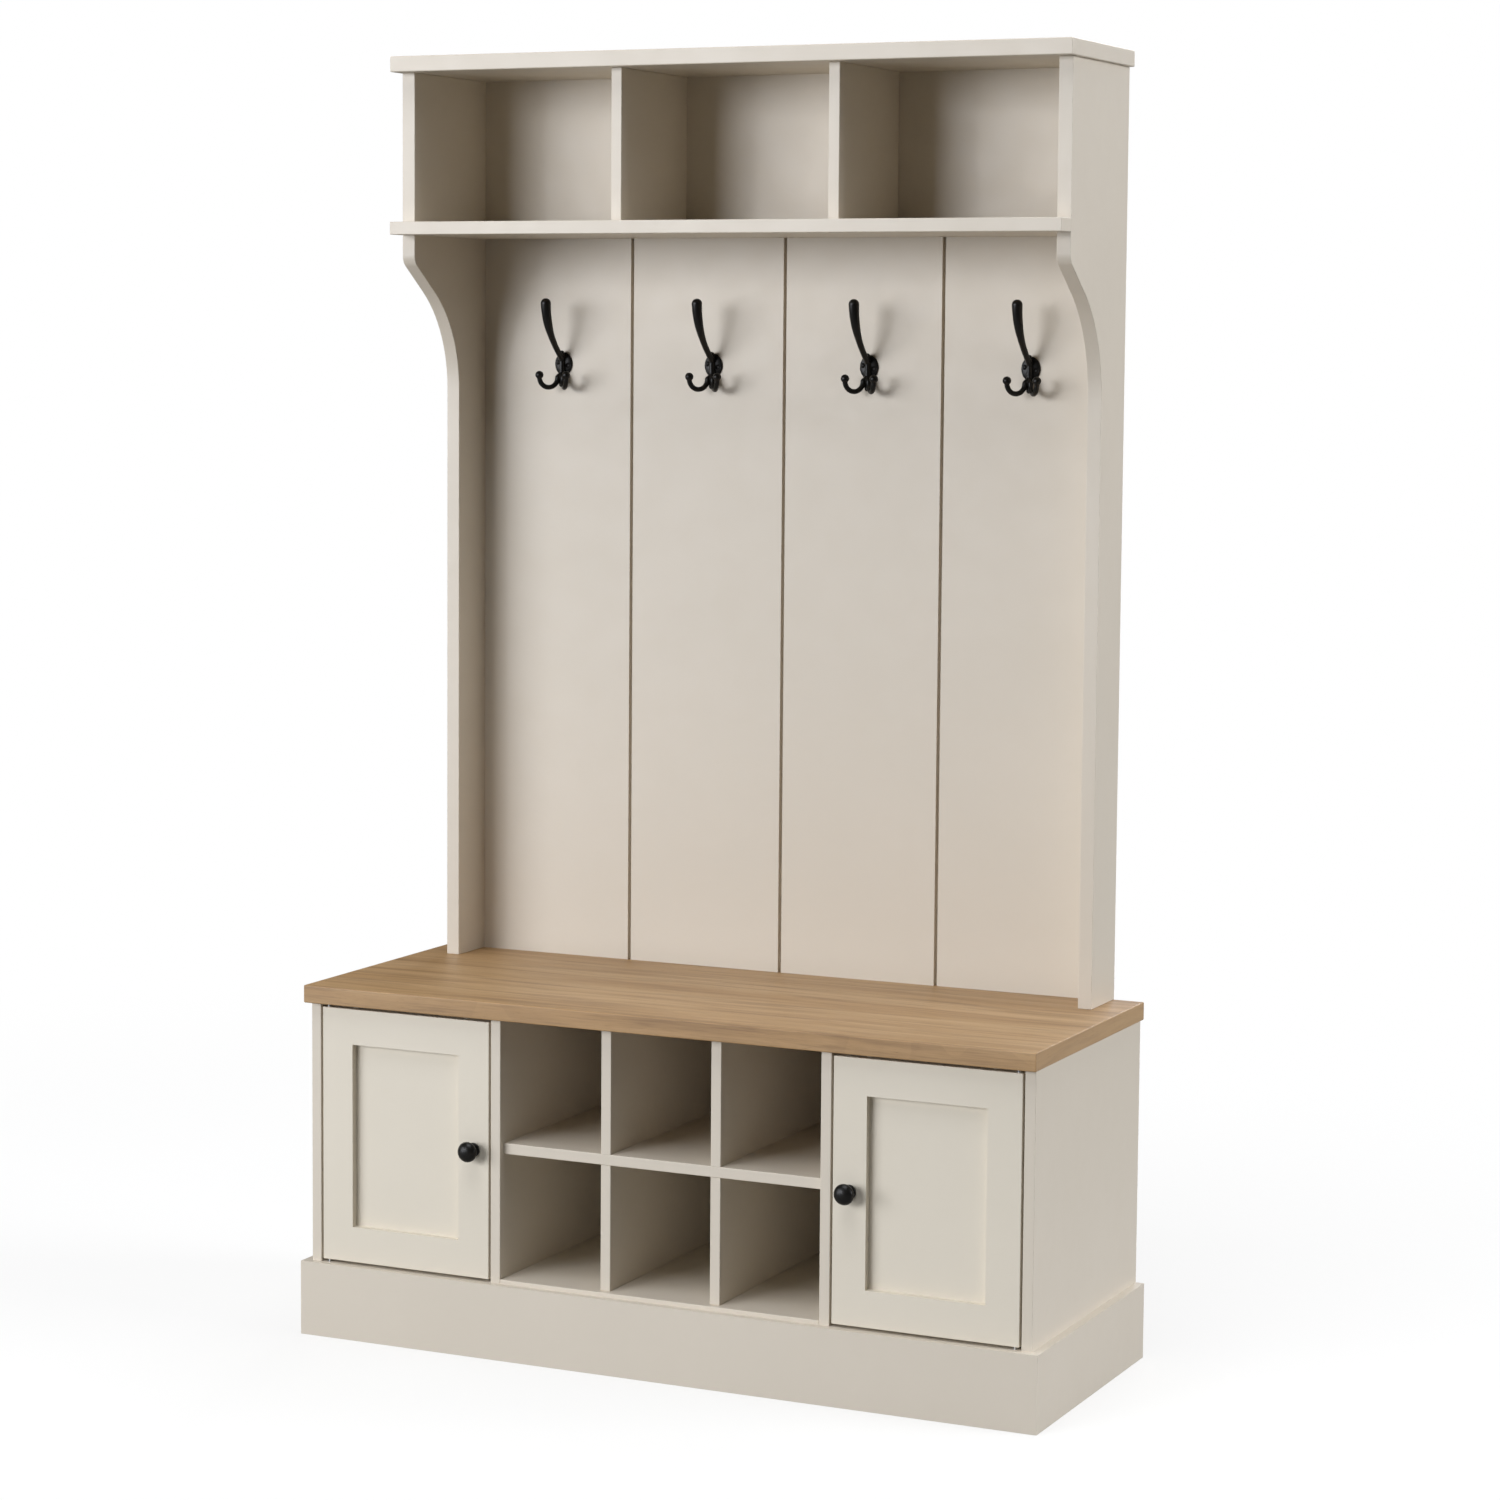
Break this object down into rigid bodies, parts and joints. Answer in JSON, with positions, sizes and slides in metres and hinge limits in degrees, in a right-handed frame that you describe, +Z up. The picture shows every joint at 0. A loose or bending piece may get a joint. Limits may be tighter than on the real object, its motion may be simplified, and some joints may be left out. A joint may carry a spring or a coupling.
{
  "type": "hall tree",
  "caption": "Hall tree: oak-topped storage bench with two doors and open slots, panelled coat back with triple hooks, ledge and open cubbies under a cap board.",
  "frame": {"origin": "centre of the bounding box's footprint, on the floor", "axes": "+X to the right seen from the front, the front faces -Y, +Z up"},
  "size_m": [1.11, 0.433, 1.8],
  "materials": {
    "paint": "satin stone paint on MDF",
    "door_paint": "satin stone paint on MDF",
    "back_paint": "painted hardboard",
    "oak": "matt lacquered oak",
    "black_metal": "satin black",
    "black_screw": "satin black",
    "steel": "zinc plated",
    "nylon": "natural nylon",
    "catch": "moulded",
    "beech": "bare beech"
  },
  "bodies": {
    "carcass": {"back_board_1": "paint", "back_board_2": "paint", "back_board_3": "paint", "back_board_4": "paint", "base_back": "back_paint", "base_side_left": "paint", "base_side_right": "paint", "bench_dowels": "beech", "bench_top": "oak", "cap_board": "paint", "catch_left": "catch", "catch_right": "catch", "cubby_back": "paint", "cubby_divider_left": "paint", "cubby_divider_right": "paint", "floor_left": "paint", "floor_middle": "paint", "floor_right": "paint", "hook_1": "black_metal", "hook_2": "black_metal", "hook_3": "black_metal", "hook_4": "black_metal", "hook_screws": "black_screw", "ledge_shelf": "paint", "partition_left": "paint", "partition_right": "paint", "pivot_bushes": "nylon", "plinth_front": "paint", "plinth_left": "paint", "plinth_right": "paint", "slot_divider_left": "paint", "slot_divider_right": "paint", "slot_shelf": "paint", "toe_rail_left": "paint", "toe_rail_middle": "paint", "toe_rail_right": "paint", "upper_dowels": "beech", "upper_side_left": "paint", "upper_side_right": "paint"},
    "door_left": {"door_left_knob": "black_metal", "door_left_knob_screw": "steel", "door_left_panel": "door_paint", "door_left_pivot_pins": "steel", "door_left_rail_bottom": "door_paint", "door_left_rail_top": "door_paint", "door_left_stile_hinge": "door_paint", "door_left_stile_lock": "door_paint", "door_left_strike": "steel"},
    "door_right": {"door_right_knob": "black_metal", "door_right_knob_screw": "steel", "door_right_panel": "door_paint", "door_right_pivot_pins": "steel", "door_right_rail_bottom": "door_paint", "door_right_rail_top": "door_paint", "door_right_stile_hinge": "door_paint", "door_right_stile_lock": "door_paint", "door_right_strike": "steel"}
  },
  "joints": [
    {"name": "door_left_hinge", "type": "hinge", "parent": "carcass", "child": "door_left", "pos_m": [-0.5175, -0.1835, 0.289], "axis": [0, 0, -1], "range_deg": [0, 110]},
    {"name": "door_right_hinge", "type": "hinge", "parent": "carcass", "child": "door_right", "pos_m": [0.5175, -0.1835, 0.289], "axis": [0, 0, 1], "range_deg": [0, 110]}
  ]
}
